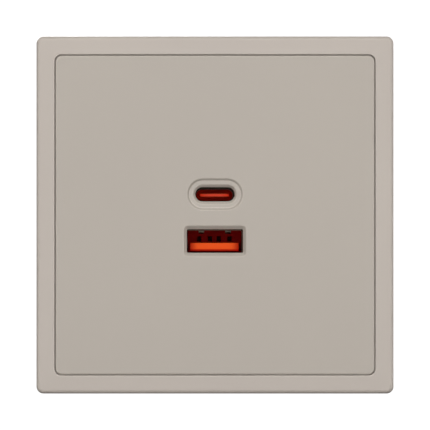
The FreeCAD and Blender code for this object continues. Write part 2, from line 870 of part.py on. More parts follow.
def link_pin_places():
    first = -(link_pin_count - 1) / 2 * link_pin_pitch
    return [first + number * link_pin_pitch for number in range(link_pin_count)]


def make_port_board():
    board = casing_inside(board_gap, (port_back, port_board_back))
    board = board.common(box(everywhere, everywhere, (port_board_bottom, port_board_top)))
    through = (port_back - beyond, port_board_back + beyond)
    for place in large_contact_places:
        half = large_contact_width / 2 + board_hole_gap
        low, high = large_contact_span()
        height = (low - board_hole_gap, high + board_hole_gap)
        board = board.cut(box(around(large_centre[0] + place, half), through, height))
    return cut_all(board, link_pin_holes(through))


def link_pin_holes(through):
    half = link_pin_side / 2 + board_hole_gap
    return [box(around(x, half), through, around(link_pin_height, half)) for x in link_pin_places()]


def make_power_board():
    board = casing_inside(board_gap, (power_board_front, power_board_back))
    board = board.common(box(everywhere, everywhere, (power_board_bottom, casing_half_height)))
    through = (power_board_front - beyond, power_board_back + beyond)
    for side in (1, -1):
        across = around(side * chamber_middle, busbar_pin_half_width + board_hole_gap)
        height = around(busbar_pin_height, busbar_thickness / 2 + board_hole_gap)
        board = board.cut(box(across, through, height))
    return cut_all(board, link_pin_holes(through))


def make_board_link_pins():
    half = link_pin_side / 2
    depth = (port_back - link_pin_tail / 2, power_board_back + link_pin_tail)
    height = around(link_pin_height, half)
    return Part.makeCompound([box(around(x, half), depth, height) for x in link_pin_places()])


def standing(place, size):
    """A block on the power board: place is (x, z), size is (width, depth, height)."""
    depth = (power_board_front - size[1], power_board_front)
    return box(around(place[0], size[0] / 2), depth, around(place[1], size[2] / 2))


def make_transformer():
    """Core of two E halves, the bobbin on its middle limb, and the winding round that."""
    x = transformer_middle
    low = power_board_bottom + transformer_ends[0] + transformer_winding_thickness
    high = power_board_top - transformer_ends[1] - transformer_winding_thickness
    z = (low + high) / 2
    height = high - low
    depth = board_space - transformer_clearance
    y_span = (power_board_front - depth, power_board_front - transformer_bobbin_wall)
    core = box(around(x, transformer_width / 2), y_span, around(z, height / 2))
    window_half = transformer_width / 2 - transformer_limb
    yoke = transformer_limb / 2
    window = (y_span[0] + yoke, y_span[1] - yoke)
    core = core.cut(box(around(x, window_half), window, around(z, height)))
    limb_half = transformer_limb / 2
    limb = box(around(x, limb_half), y_span, around(z, height / 2))
    core = join(core, [limb])
    tube_half = limb_half + transformer_bobbin_wall
    tube_height = around(z, height / 2 + transformer_bobbin_wall)
    tube = box(around(x, tube_half), window, tube_height)
    limb_space = box(around(x, limb_half), everywhere, around(z, height / 2))
    rim_height = around(z, height / 2 + transformer_winding_thickness)
    wound_span = (window[0] + transformer_bobbin_wall, window[1] - transformer_bobbin_wall)
    flanges = []
    for span in ((window[0], wound_span[0]), (wound_span[1], window[1])):
        flanges.append(box(around(x, window_half), span, rim_height))
    base_depth = (power_board_front - transformer_bobbin_wall, power_board_front)
    base = box(around(x, window_half), base_depth, rim_height)
    legs = []
    for side in (1, -1):
        edge = z + side * (height / 2 + transformer_bobbin_wall / 2)
        leg_depth = (window[1], power_board_front)
        legs.append(box(around(x, window_half), leg_depth, around(edge, transformer_bobbin_wall / 2)))
    bobbin = join(tube, flanges).cut(limb_space)
    bobbin = join(bobbin, legs + [base])
    wound_half = window_half - transformer_bobbin_wall / 2
    winding = box(around(x, wound_half), wound_span, rim_height)
    winding = winding.cut(box(around(x, tube_half), wound_span, tube_height))
    return core, bobbin, winding


def make_capacitors(places, radius, length):
    """Round cans, with the rolled groove near the board end."""
    cans = []
    for x, z in places:
        front = power_board_front - length
        can = rod(x, z, radius, (front, power_board_front))
        can = can.makeFillet(radius / 8, edges_at(can, front, (radius, radius), (x, z)))
        groove_middle = point(x, power_board_front - radius / 2, z)
        groove = Part.makeTorus(radius, radius / 10, groove_middle, point(0, 1, 0))
        cans.append(can.cut(groove))
    return Part.makeCompound(cans)


def make_choke():
    x, z = choke_place
    front = power_board_front - choke_height
    ends = [(front, front + choke_flange_thickness)]
    ends.append((power_board_front - choke_flange_thickness, power_board_front))
    discs = [rod(x, z, choke_flange_radius, span) for span in ends]
    core = join(rod(x, z, choke_core_radius, (front, power_board_front)), discs)
    wound_span = (ends[0][1], ends[1][0])
    winding = rod(x, z, choke_flange_radius - choke_winding_inset, wound_span)
    return core, winding.cut(rod(x, z, choke_core_radius, wound_span))


def make_fuse():
    x, z = fuse_place
    y = power_board_front - fuse_radius
    body = Part.makeCylinder(fuse_radius, fuse_length, point(x - fuse_length / 2, y, z), point(1, 0, 0))
    return body.makeFillet(fuse_radius / 4, [edge for edge in body.Edges if edge.Closed])


def make_heat_spreader():
    z_span = spreader_span
    front = power_board_front - spreader_height
    inner = spreader_place - spreader_thickness / 2
    upright = box(around(spreader_place, spreader_thickness / 2), (front, power_board_front), z_span)
    bend_span = (inner, spreader_place + 2 * spreader_thickness)
    return join(upright, [box(bend_span, (front, front + spreader_thickness), z_span)])


def make_controller_chips():
    chips = []
    for x, z, width, height in chip_sizes:
        depth = (port_board_back, port_board_back + chip_thickness)
        chips.append(box(around(x, width / 2), depth, around(z, height / 2)))
    return Part.makeCompound(chips)


def make_terminal_block():
    """Two chambers side by side, each with two wire entries and a button guide."""
    height = (terminal_bottom, terminal_top)
    block = box(around(0, terminal_half_width), (terminal_front, terminal_back), height)
    lip_depth = (casing_floor - terminal_lip_thickness, casing_floor)
    lip_half = terminal_half_width + terminal_lip_reach
    middle = (terminal_bottom + terminal_top) / 2
    block = join(block, [box(around(0, lip_half), lip_depth, around(middle, terminal_lip_half_height))])
    cutters = []
    inside = (terminal_bottom + terminal_wall, terminal_top - terminal_wall)
    through = (chamber_back - beyond, terminal_back + beyond)
    for side in (1, -1):
        x = side * chamber_middle
        cutters.append(box(around(x, chamber_half_width), (terminal_front - beyond, chamber_back), inside))
        guide_half = button_half_width + button_guide_gap
        guide_height = button_half_height + button_guide_gap
        cutters.append(box(around(x, guide_half), through, around(button_height, guide_height)))
        for half_pitch in (wire_pitch / 2, -wire_pitch / 2):
            cutters.append(rod(x + half_pitch, wire_height, wire_hole, through))
    return cut_all(block, cutters)


def make_release_button():
    """Button of the right-hand chamber: cap, shoulder behind the wall, and nose."""
    shoulder_back = chamber_back - button_stop_gap
    shoulder_front = shoulder_back - button_shoulder_thickness
    cap_depth = (shoulder_back, terminal_back + button_proud)
    x = chamber_middle
    cap = box(around(x, button_half_width), cap_depth, around(button_height, button_half_height))
    shoulder = box(
        around(x, button_half_width + button_shoulder),
        (shoulder_front, shoulder_back),
        around(button_height, button_half_height + button_shoulder),
    )
    nose = box(
        around(x, button_nose_half_width),
        (shoulder_front - button_nose_length, shoulder_front),
        around(button_height, button_nose_half_height),
    )
    return join(cap, [shoulder, nose])


def make_busbar():
    """Bar under the wires, riser in front of the block, and a pin to the power board."""
    foot_low = terminal_bottom + terminal_wall + port_fill_gap
    foot_height = (foot_low, foot_low + busbar_thickness)
    riser_back = terminal_front - busbar_front_gap
    riser_depth = (riser_back - busbar_thickness, riser_back)
    x_span = around(chamber_middle, busbar_half_width)
    foot = box(x_span, (riser_depth[0], chamber_back - busbar_front_gap), foot_height)
    pin_height = around(busbar_pin_height, busbar_thickness / 2)
    riser_half = busbar_half_width / 2
    riser = box(around(chamber_middle, riser_half), riser_depth, (foot_low, pin_height[1]))
    pin_depth = (riser_depth[0], power_board_back + busbar_pin_tail)
    pin = box(around(chamber_middle, busbar_pin_half_width), pin_depth, pin_height)
    return join(foot, [riser, pin])


def make_clamp_spring():
    """Leaf spring: seated leg, loop, return leg under the button, and the leg on the wires."""
    half = spring_thickness / 2
    seat = terminal_top - terminal_wall - spring_seat_gap - half
    nose_end = chamber_back - button_stop_gap - button_shoulder_thickness - button_nose_length
    fold = nose_end - spring_button_gap - spring_thickness
    foot = terminal_bottom + terminal_wall + busbar_thickness + spring_foot_gap + half
    loop_front = terminal_front + spring_loop + half
    under = button_height - button_nose_half_height
    path = [
        (fold - spring_loop, seat),
        (loop_front + spring_loop, seat),
        (loop_front, seat - spring_loop),
        (loop_front + spring_loop, seat - 2 * spring_loop),
        (fold, under),
        (fold - 2 * spring_loop, foot),
    ]
    return bent_strip(path, spring_thickness, around(chamber_middle, spring_half_width))


def mirrored(shape):
    """The same piece for the left-hand chamber."""
    return shape.mirror(point(0, 0, 0), point(1, 0, 0))


claw = make_claw()
claw_screw = make_claw_screw()
release_button = make_release_button()
busbar = make_busbar()
clamp_spring = make_clamp_spring()
transformer_core, transformer_bobbin, transformer_winding = make_transformer()
choke_core, choke_winding = make_choke()

pieces = {
    "outer_frame": make_outer_frame(),
    "cover_plate": make_cover_plate(),
    "support_ring": make_support_ring(),
    "housing_front": make_housing_front(),
    "rear_casing": make_rear_casing(),
    "housing_screws": make_housing_screws(),
    "claw_right": claw,
    "claw_left": half_turn(claw),
    "claw_screw_right": claw_screw,
    "claw_screw_left": half_turn(claw_screw),
    "usb_c_shell": make_small_shell(),
    "usb_c_tongue": make_small_tongue(),
    "usb_c_contacts": make_small_contacts(),
    "usb_a_shell": make_large_shell(),
    "usb_a_insulator": make_large_insulator(),
    "usb_a_contacts": make_large_contacts(),
    "port_board": make_port_board(),
    "power_board": make_power_board(),
    "board_link_pins": make_board_link_pins(),
    "transformer_core": transformer_core,
    "transformer_bobbin": transformer_bobbin,
    "transformer_winding": transformer_winding,
    "bulk_capacitors": make_capacitors(bulk_places, bulk_radius, bulk_length),
    "output_capacitors": make_capacitors(output_places, output_radius, output_length),
    "suppression_capacitor": standing(suppression_place, suppression_size),
    "choke_core": choke_core,
    "choke_winding": choke_winding,
    "bridge_rectifier": standing(rectifier_place, rectifier_size),
    "mains_fuse": make_fuse(),
    "heat_spreader": make_heat_spreader(),
    "controller_chips": make_controller_chips(),
    "terminal_block": make_terminal_block(),
    "busbar_line": mirrored(busbar),
    "busbar_neutral": busbar,
    "clamp_spring_line": mirrored(clamp_spring),
    "clamp_spring_neutral": clamp_spring,
    "release_button_line": mirrored(release_button),
    "release_button_neutral": release_button,
}

for name, shape in pieces.items():
    shape.exportStep(f"parts/{name}.step")
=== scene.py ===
import math

import bpy
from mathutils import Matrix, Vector


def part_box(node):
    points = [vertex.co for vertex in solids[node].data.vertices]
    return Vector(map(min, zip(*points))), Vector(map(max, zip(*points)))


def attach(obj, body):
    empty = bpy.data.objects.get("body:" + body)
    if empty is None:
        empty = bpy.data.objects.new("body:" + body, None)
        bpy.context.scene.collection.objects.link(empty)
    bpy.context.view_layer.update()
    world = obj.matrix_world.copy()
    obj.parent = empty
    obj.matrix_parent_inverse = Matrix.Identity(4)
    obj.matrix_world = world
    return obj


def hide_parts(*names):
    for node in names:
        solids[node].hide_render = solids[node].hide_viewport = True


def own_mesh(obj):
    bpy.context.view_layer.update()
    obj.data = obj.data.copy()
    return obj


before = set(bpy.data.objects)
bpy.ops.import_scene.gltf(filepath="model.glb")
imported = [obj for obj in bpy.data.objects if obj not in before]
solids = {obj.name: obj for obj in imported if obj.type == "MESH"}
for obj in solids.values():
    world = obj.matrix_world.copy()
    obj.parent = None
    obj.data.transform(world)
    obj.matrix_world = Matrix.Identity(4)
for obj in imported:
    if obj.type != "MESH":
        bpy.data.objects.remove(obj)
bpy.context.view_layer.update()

bpy.ops.object.select_all(action="DESELECT")
mm = 0.001

# View: a long lens, square on to the face, from a little under arm's length.
# The frame fills five sixths of the picture's width.
face_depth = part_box("outer_frame")[0].y
view_distance = 0.70
view_width = 97.4 * mm
lens_data = bpy.data.cameras.new("front_view")
lens_data.sensor_width = 36.0
lens_data.lens = lens_data.sensor_width * view_distance / view_width
lens_data.clip_start = 0.05
lens_data.clip_end = 20.0
viewer = bpy.data.objects.new("front_view", lens_data)
bpy.context.collection.objects.link(viewer)
viewer.location = (0.0, face_depth - view_distance, 0.0)
viewer.rotation_euler = (math.radians(90), 0.0, 0.0)
bpy.context.scene.camera = viewer
bpy.context.scene.view_settings.view_transform = "Standard"
bpy.context.scene.view_settings.look = "None"


# Studio: a white surround that is dimmer below and in front, one broad soft light above and
# in front, a weaker one straight ahead that reaches into the ports, one at each side that
# picks out the edges, and two behind that fall on the housing.
def fill(tree, node, sockets):
    """Links each of these sockets of a node to an output, or sets it to a value."""
    for socket, value in sockets.items():
        if isinstance(value, bpy.types.NodeSocket):
            tree.links.new(value, node.inputs[socket])
        else:
            node.inputs[socket].default_value = value


def shader_node(tree, kind, sockets=None, **settings):
    """Adds a shader node of that kind, with its settings made and its sockets filled."""
    node = tree.nodes.new(f"ShaderNode{kind}")
    for setting, value in settings.items():
        setattr(node, setting, value)
    fill(tree, node, sockets or {})
    return node


def worked(tree, operation, *values):
    """The result of one sum on outputs and plain numbers."""
    return shader_node(tree, "Math", dict(enumerate(values)), operation=operation).outputs[0]


def ramp(tree, value, first, last, low=0.0, high=1.0, kind="LINEAR"):
    """Goes from low to high while the value goes from first to last."""
    sockets = {
        "Value": value, "From Min": first, "From Max": last, "To Min": low, "To Max": high,
    }
    return shader_node(tree, "MapRange", sockets, interpolation_type=kind).outputs["Result"]


def studio_surround(seen, cast, behind):
    """A dome that the camera sees plain white, and that lights the part in falling tones."""
    world = bpy.data.worlds.new("studio")
    bpy.context.scene.world = world
    world.use_nodes = True
    tree = world.node_tree
    tree.nodes.clear()
    where = shader_node(tree, "TexCoord")
    _, along, up = shader_node(tree, "SeparateXYZ", {0: where.outputs["Generated"]}).outputs
    height = ramp(tree, up, -0.4, 0.3, 0.2 * cast, 1.3 * cast)
    back = ramp(tree, along, 0.0, 0.5, 1.0, behind)
    white = (1.0, 1.0, 1.0, 1.0)
    dome = shader_node(
        tree, "Background", {"Color": white, "Strength": worked(tree, "MULTIPLY", height, back)}
    )
    plain = shader_node(tree, "Background", {"Color": white, "Strength": seen})
    path = shader_node(tree, "LightPath")
    mixer = shader_node(
        tree, "MixShader",
        {"Fac": path.outputs["Is Camera Ray"], 1: dome.outputs[0], 2: plain.outputs[0]},
    )
    shader_node(tree, "OutputWorld", {"Surface": mixer.outputs[0]})


def soft_light(name, place, size, watts, aim=(0.0, 0.0, 0.0)):
    """A soft box of that width and height, turned towards its aim."""
    data = bpy.data.lights.new(name, "AREA")
    data.shape = "RECTANGLE"
    data.size, data.size_y = size
    data.energy = watts
    lamp = bpy.data.objects.new(name, data)
    bpy.context.collection.objects.link(lamp)
    lamp.location = place
    lamp.rotation_euler = (Vector(aim) - Vector(place)).to_track_quat("-Z", "Y").to_euler()


housing_aim = (0.0, 0.02, 0.0)
studio_surround(seen=1.1, cast=0.085, behind=4.0)
soft_light("light_above", (0.0, -1.45, 1.05), (1.7, 0.8), 14.5)
soft_light("light_ahead", (0.0, -1.3, 0.0), (0.9, 0.7), 3.2)
soft_light("light_left", (-0.75, -0.75, 0.0), (0.5, 0.9), 3.4)
soft_light("light_right", (0.75, -0.75, 0.0), (0.5, 0.9), 3.4)
soft_light("light_behind", (-0.5, 1.1, 0.6), (1.0, 0.8), 12.0, housing_aim)
soft_light("light_beside", (0.75, 0.75, 0.25), (0.5, 0.9), 3.4, housing_aim)


# Floor: a pale round board well below the part, out of the front view. It fades to the
# surround's white towards its rim, throws little light back up, and isn't seen from below.
def new_paint(name):
    """A material, with its node tree and its Principled shader."""
    paint = bpy.data.materials.new(name)
    paint.use_nodes = True
    return paint, paint.node_tree, paint.node_tree.nodes["Principled BSDF"]


floor_drop = -170 * mm
floor_radius = 0.6
bpy.ops.mesh.primitive_circle_add(
    vertices=96, radius=floor_radius, fill_type="NGON", location=(0.0, 0.0, floor_drop)
)
floor = bpy.context.object
floor.name = "floor"
bpy.ops.object.transform_apply(location=True, rotation=True, scale=True)
floor_paint, tree, board = new_paint("floor_paint")
fill(tree, board, {"Base Color": (0.80, 0.79, 0.78, 1.0), "Roughness": 0.8})
where = shader_node(tree, "TexCoord")
reach = shader_node(tree, "VectorMath", {0: where.outputs["Object"]}, operation="LENGTH")
fade = ramp(tree, reach.outputs["Value"], floor_radius * 0.35, floor_radius * 0.98)
white = shader_node(tree, "Emission")
faded = shader_node(tree, "MixShader", {"Fac": fade, 1: board.outputs[0], 2: white.outputs[0]})
underside = shader_node(tree, "NewGeometry")
clear = shader_node(tree, "BsdfTransparent")
one_way = shader_node(
    tree, "MixShader",
    {"Fac": underside.outputs["Backfacing"], 1: faded.outputs[0], 2: clear.outputs[0]},
)
dull = shader_node(tree, "BsdfDiffuse", {"Color": (0.12, 0.12, 0.12, 1.0)})
path = shader_node(tree, "LightPath")
seen = shader_node(
    tree, "MixShader",
    {"Fac": path.outputs["Is Camera Ray"], 1: dull.outputs[0], 2: one_way.outputs[0]},
)
fill(tree, tree.nodes["Material Output"], {"Surface": seen.outputs[0]})
floor.data.materials.append(floor_paint)
bpy.ops.object.select_all(action="DESELECT")


# Outer frame: one injection moulding in pale grey plastic with a finely eroded, matt skin.
# Its face falls a little towards the outside and its edges are rounded over.
def skin_group(name, sizes, masks):
    """A node group that reads a place and some sizes, and gives some masks and a normal."""
    group = bpy.data.node_groups.new(name, "ShaderNodeTree")
    socket = group.interface.new_socket
    socket(name="Place", in_out="INPUT", socket_type="NodeSocketVector")
    for size, usual in sizes.items():
        socket(name=size, in_out="INPUT", socket_type="NodeSocketFloat").default_value = usual
    for mask in masks:
        socket(name=mask, in_out="OUTPUT", socket_type="NodeSocketFloat")
    socket(name="Normal", in_out="OUTPUT", socket_type="NodeSocketVector")
    start = group.nodes.new("NodeGroupInput")
    return group, start.outputs, group.nodes.new("NodeGroupOutput")


def noise(tree, place, size, detail):
    """Noise whose patches are about as long as the size."""
    scale = worked(tree, "DIVIDE", 1.0, size)
    return shader_node(
        tree, "TexNoise", {"Vector": place, "Scale": scale, "Detail": detail}
    ).outputs["Fac"]


def edge_mask(tree, rounded, full_cosine):
    """One along the edges, where the rounded normal leans away from the flat one so far that
    the cosine between them falls to full_cosine."""
    flat_cosine = 0.995
    flat = shader_node(tree, "NewGeometry").outputs["Normal"]
    lean = shader_node(tree, "VectorMath", {0: rounded, 1: flat}, operation="DOT_PRODUCT")
    return ramp(tree, lean.outputs["Value"], flat_cosine, full_cosine)


def mould_skin_group():
    """The eroded skin of a mould: a fine grain, a slow drift of tone, and its edges."""
    group, given, end = skin_group(
        "mould_skin",
        {
            "Grain Size": 0.25 * mm, "Grain Depth": 0.004 * mm, "Drift Size": 30 * mm,
            "Edge Reach": 0.0,
        },
        ("Tone", "Grain", "Edge"),
    )
    grain = noise(group, given["Place"], given["Grain Size"], 3.0)
    drift = noise(group, given["Place"], given["Drift Size"], 2.0)
    rounded = shader_node(group, "Bevel", {"Radius": given["Edge Reach"]}, samples=6).outputs[0]
    grained = shader_node(
        group, "Bump", {"Height": grain, "Distance": given["Grain Depth"], "Normal": rounded}
    )
    fill(group, end, {
        "Tone": drift, "Grain": grain, "Edge": edge_mask(group, rounded, 0.90),
        "Normal": grained.outputs[0],
    })
    return group


mould_skin = mould_skin_group()


def colour(rgb255):
    """A linear colour from the three 8 bit values of a swatch."""
    linear = []
    for value in rgb255:
        share = value / 255
        linear.append(share / 12.92 if share <= 0.04045 else ((share + 0.055) / 1.055) ** 2.4)
    return (*linear, 1.0)


def blended(tree, mask, base, tint):
    """A tint laid over a base colour as far as the mask says."""
    sockets = {"Factor": mask, 6: base, 7: tint}
    return shader_node(tree, "Mix", sockets, data_type="RGBA").outputs[2]


def skinned(tree, group, sizes):
    """A skin group that reads the object's own place, with the sizes given."""
    where = shader_node(tree, "TexCoord")
    sockets = {"Place": where.outputs["Object"], **sizes}
    return shader_node(tree, "Group", sockets, node_tree=group).outputs


def moulded(
    name, low, high, rough, grain_size=0.25 * mm, grain_depth=0.004 * mm, drift=30 * mm,
    edge=None, edge_reach=0.0,
):
    """Plain moulded plastic: its tone drifts from low to high, its skin is grained, and a paler
    tone may be painted along its sharp edges as a highlight."""
    paint, tree, shell = new_paint(name)
    skin = skinned(tree, mould_skin, {
        "Grain Size": grain_size, "Grain Depth": grain_depth, "Drift Size": drift,
        "Edge Reach": edge_reach,
    })
    tone = blended(tree, skin["Tone"], colour(low), colour(high))
    if edge is not None:
        tone = blended(tree, skin["Edge"], tone, colour(edge))
    sheen = ramp(tree, skin["Grain"], 0.0, 1.0, *rough)
    fill(tree, shell, {"Base Color": tone, "Roughness": sheen, "Normal": skin["Normal"]})
    return paint


def dress(node, paint):
    """Gives a solid its finish."""
    solids[node].data.materials.clear()
    solids[node].data.materials.append(paint)


# A paler tone is painted along the frame's sharp edges as a highlight.
frame_skin = moulded(
    "frame_skin", (190, 180, 171), (194, 184, 174), (0.30, 0.38),
    edge=(224, 215, 205), edge_reach=0.35 * mm,
)
dress("outer_frame", frame_skin)

# Cover plate: a second moulding of the same plastic, a shade darker, with a dished oval
# opening above a rectangular one. Four snap legs hold it to the housing.
cover_finish = (181, 172, 162), (185, 176, 165), (0.30, 0.38)
# A paler tone is painted along the cover's sharp edges as a highlight.
cover_skin = moulded("cover_skin", *cover_finish, edge=(230, 221, 211), edge_reach=0.4 * mm)
dress("cover_plate", cover_skin)


# Cover step: the cover's edge is moulded with a thin step behind its face. It all but
# closes the joint to the frame, so that no dust or light gets past.
def square_ring(outer, inner, corner, front, back):
    """A rounded square ring between two depths, in the plane of the face."""
    bpy.ops.object.select_all(action="DESELECT")
    bpy.ops.mesh.primitive_plane_add(
        size=2 * outer, location=(0.0, front, 0.0), rotation=(math.radians(90), 0.0, 0.0)
    )
    ring = bpy.context.object
    bpy.ops.object.transform_apply(location=True, rotation=True, scale=True)
    bpy.ops.object.mode_set(mode="EDIT")
    bpy.ops.mesh.select_all(action="SELECT")
    bpy.ops.mesh.bevel(offset=corner, offset_type="OFFSET", segments=8, affect="VERTICES")
    bpy.ops.mesh.select_all(action="SELECT")
    bpy.ops.mesh.inset(thickness=outer - inner, use_even_offset=True)
    bpy.ops.mesh.delete(type="FACE")
    bpy.ops.mesh.select_all(action="SELECT")
    bpy.ops.mesh.extrude_region_move(TRANSFORM_OT_translate={"value": (0.0, back - front, 0.0)})
    bpy.ops.mesh.select_all(action="SELECT")
    bpy.ops.mesh.normals_make_consistent(inside=False)
    bpy.ops.object.mode_set(mode="OBJECT")
    return ring


low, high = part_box("cover_plate")
step_reach, step_lap = 0.26 * mm, 0.25 * mm
step_front, step_back = low.y + 0.78 * mm, low.y + 1.9 * mm
step_corner = 1.6 * mm
step = square_ring(high.x + step_reach, high.x - step_lap, step_corner, step_front, step_back)
step.name = "cover_step"
step.data.name = "cover_step"
step.data.materials.append(moulded("step_skin", *cover_finish))
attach(step, "root")
bpy.ops.object.select_all(action="DESELECT")


# Port shells: sheet steel folded into sleeves and plated with bright nickel. The large one is
# # painted dark brown as painted shade, the small one orange red as a painted reflection of its
# # tongue and darker at its mouth as painted shade, and the large one's sprung fingers carry
# # painted glints at their tips.
def metal_skin_group():
    """Rolled and plated metal: fine drawn lines, a slow clouding, and rubbed edges."""
    group, given, end = skin_group(
        "metal_skin",
        {
            "Grain Size": 0.2 * mm, "Grain Depth": 0.001 * mm, "Cloud Size": 4 * mm,
            "Edge Reach": 0.2 * mm,
        },
        ("Cloud", "Grain", "Edge"),
    )
    drawn = shader_node(
        group, "VectorMath", {0: given["Place"], 1: (1.0, 0.12, 1.0)}, operation="MULTIPLY"
    ).outputs[0]
    grain = noise(group, drawn, given["Grain Size"], 2.0)
    cloud = noise(group, given["Place"], given["Cloud Size"], 3.0)
    rounded = shader_node(group, "Bevel", {"Radius": given["Edge Reach"]}, samples=4).outputs[0]
    grained = shader_node(group, "Bump", {"Height": grain, "Distance": given["Grain Depth"]})
    fill(group, end, {
        "Cloud": cloud, "Grain": grain, "Edge": edge_mask(group, rounded, 0.85),
        "Normal": grained.outputs[0],
    })
    return group


metal_skin = metal_skin_group()


def metalled(name, low, high, edge, rough, grain_size=0.2 * mm, grain_depth=0.001 * mm, cloud=4 * mm):
    """Bare or plated metal: clouded from low to high, and rubbed bright along its edges."""
    paint, tree, shell = new_paint(name)
    skin = skinned(tree, metal_skin, {
        "Grain Size": grain_size, "Grain Depth": grain_depth, "Cloud Size": cloud,
    })
    tone = blended(tree, skin["Cloud"], colour(low), colour(high))
    fill(tree, shell, {
        "Metallic": 1.0,
        "Base Color": blended(tree, skin["Edge"], tone, colour(edge)),
        "Roughness": ramp(tree, skin["Grain"], 0.3, 0.7, *rough),
        "Normal": skin["Normal"],
    })
    return paint


def own_place(tree):
    """The X, Y and Z of the object itself, in metres."""
    where = shader_node(tree, "TexCoord")
    return shader_node(tree, "SeparateXYZ", {0: where.outputs["Object"]}).outputs


def overlaid(tree, mask, tint):
    """Lays a tint over the base colour that a material has so far."""
    shell = tree.nodes["Principled BSDF"]
    base = shell.inputs["Base Color"].links[0].from_socket
    fill(tree, shell, {"Base Color": blended(tree, mask, base, colour(tint))})


def between(tree, value, limits):
    """One where the value lies between two limits, and nothing elsewhere."""
    above = worked(tree, "GREATER_THAN", value, limits[0])
    return worked(tree, "MULTIPLY", above, worked(tree, "LESS_THAN", value, limits[1]))


# The nickel is painted dark brown, as painted shade for the shade and dark reflections inside the
# port.
nickel_painted_shade = metalled("nickel_painted_shade", (52, 36, 31), (66, 47, 40), (96, 78, 68), (0.30, 0.42))
large_low, large_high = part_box("usb_a_shell")
port_front = large_low.y
# A mask picks out the tips of the two sprung fingers, and a pale colour is painted on them as a
# glint.
finger_front = port_front + 1.7 * mm
shell_ceiling = large_high.z - 0.3 * mm
glint_depth = (finger_front - 0.1 * mm, finger_front + 0.3 * mm)
glint_height = (shell_ceiling - 0.7 * mm, shell_ceiling - 0.04 * mm)
glint_width = (-4.5 * mm, 4.5 * mm)
tree = nickel_painted_shade.node_tree
x, y, z = own_place(tree)
glint_mask = between(tree, y, glint_depth)
glint_mask = worked(tree, "MULTIPLY", glint_mask, between(tree, z, glint_height))
glint_mask = worked(tree, "MULTIPLY", glint_mask, between(tree, x, glint_width))
overlaid(tree, glint_mask, (236, 222, 204))
dress("usb_a_shell", nickel_painted_shade)

# The nickel is painted orange red, as a painted reflection of the orange tongue.
nickel_painted_reflection = metalled("nickel_painted_reflection", (204, 70, 36), (218, 78, 42), (232, 98, 60), (0.34, 0.46))
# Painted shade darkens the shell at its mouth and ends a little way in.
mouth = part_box("usb_c_shell")[0].y
tree = nickel_painted_reflection.node_tree
mouth_painted_shade = ramp(tree, own_place(tree)["Y"], mouth + 0.35 * mm, mouth + 0.05 * mm)
overlaid(tree, mouth_painted_shade, (44, 30, 26))
dress("usb_c_shell", nickel_painted_reflection)


# Port tongues: orange nylon with a little glass in it, moulded in one piece with the base
# # that closes the back of each shell. Painted dark red shade lies on the deep parts of the base
# # and at the tongues' ends, and on the large one also under the tongue's foot and in the
# # contacts' slots.
def pick(*pieces):
    """Only these are selected, and the first is the active one."""
    bpy.ops.object.select_all(action="DESELECT")
    for piece in pieces:
        piece.select_set(True)
    bpy.context.view_layer.objects.active = pieces[0]


def settle(piece, name, paint, body, finish, *stands_for, smooth=35):
    """Names a finished piece, gives it its material, and hands it to its body."""
    piece.name = name
    piece.data.name = name
    pick(piece)
    bpy.ops.object.transform_apply(location=True, rotation=True, scale=True)
    bpy.ops.object.shade_smooth_by_angle(angle=math.radians(smooth))
    piece.data.materials.clear()
    piece.data.materials.append(paint)
    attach(piece, body)
    if stands_for:
        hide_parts(*stands_for)
    bpy.ops.object.select_all(action="DESELECT")


def apply_modifier(piece, kind, **settings):
    """Adds one modifier to a piece and applies it."""
    pick(piece)
    step = piece.modifiers.new("step", kind)
    for setting, value in settings.items():
        setattr(step, setting, value)
    bpy.ops.object.modifier_apply(modifier="step")


def eased(node, name, width, paint, body, finish, recesses=()):
    """A copy of a solid with its hard edges broken, as stamping or moulding leaves them."""
    piece = bpy.data.objects.new(name, solids[node].data.copy())
    bpy.context.collection.objects.link(piece)
    pick(piece)
    bpy.ops.object.mode_set(mode="EDIT")
    bpy.ops.mesh.select_all(action="SELECT")
    bpy.ops.mesh.remove_doubles(threshold=0.002 * mm)
    bpy.ops.mesh.dissolve_limited(angle_limit=math.radians(1.0))
    bpy.ops.object.mode_set(mode="OBJECT")
    for recess in recesses:
        apply_modifier(piece, "BOOLEAN", operation="DIFFERENCE", object=recess, solver="EXACT")
        bpy.data.objects.remove(recess)
    apply_modifier(
        piece, "BEVEL", width=width, segments=2, limit_method="ANGLE",
        angle_limit=math.radians(35), use_clamp_overlap=False,
    )
    settle(piece, name, paint, body, finish, node)
    apply_modifier(piece, "WEIGHTED_NORMAL", keep_sharp=True, weight=80)
    bpy.ops.object.select_all(action="DESELECT")


def orange_with_painted_shade(name, low, high, shade_tint, base_start, tongue_half, slot_start=None, foot=None):
    """Tinted nylon with painted dark red shade at the tongue's ends, on the base from
    base_start on, and under the tongue's foot, and painted dark shade in the contacts' slots."""
    paint = moulded(name, low, high, (0.40, 0.50), 0.2 * mm, 0.002 * mm, 3 * mm)
    tree = paint.node_tree
    rounded = shader_node(tree, "Bevel", {"Radius": 0.35 * mm}, samples=6)
    fill(tree, tree.nodes["Principled BSDF"], {
        "Specular IOR Level": 0.03, "Normal": rounded.outputs[0],
    })
    x, y, z = own_place(tree)
    from_middle = worked(tree, "ABSOLUTE", worked(tree, "SUBTRACT", x, port_middle))
    # Each painted shade: what it follows, where it starts and is full, its tint, and how strong it
    # is.
    patches = [
        (from_middle, tongue_half - 1.9 * mm, tongue_half + 0.1 * mm, shade_tint, 0.8),
        (y, base_start - 1.5 * mm, base_start, shade_tint, 1.0),
    ]
    if foot is not None:
        patches.append((z, foot + 0.38 * mm, foot + 0.08 * mm, shade_tint, 0.9))
    if slot_start is not None:
        patches.append((y, slot_start, slot_start + 0.3 * mm, (78, 20, 10), 1.0))
    for value, first, last, tint, most in patches:
        overlaid(tree, ramp(tree, value, first, last, high=most, kind="SMOOTHSTEP"), tint)
    return paint


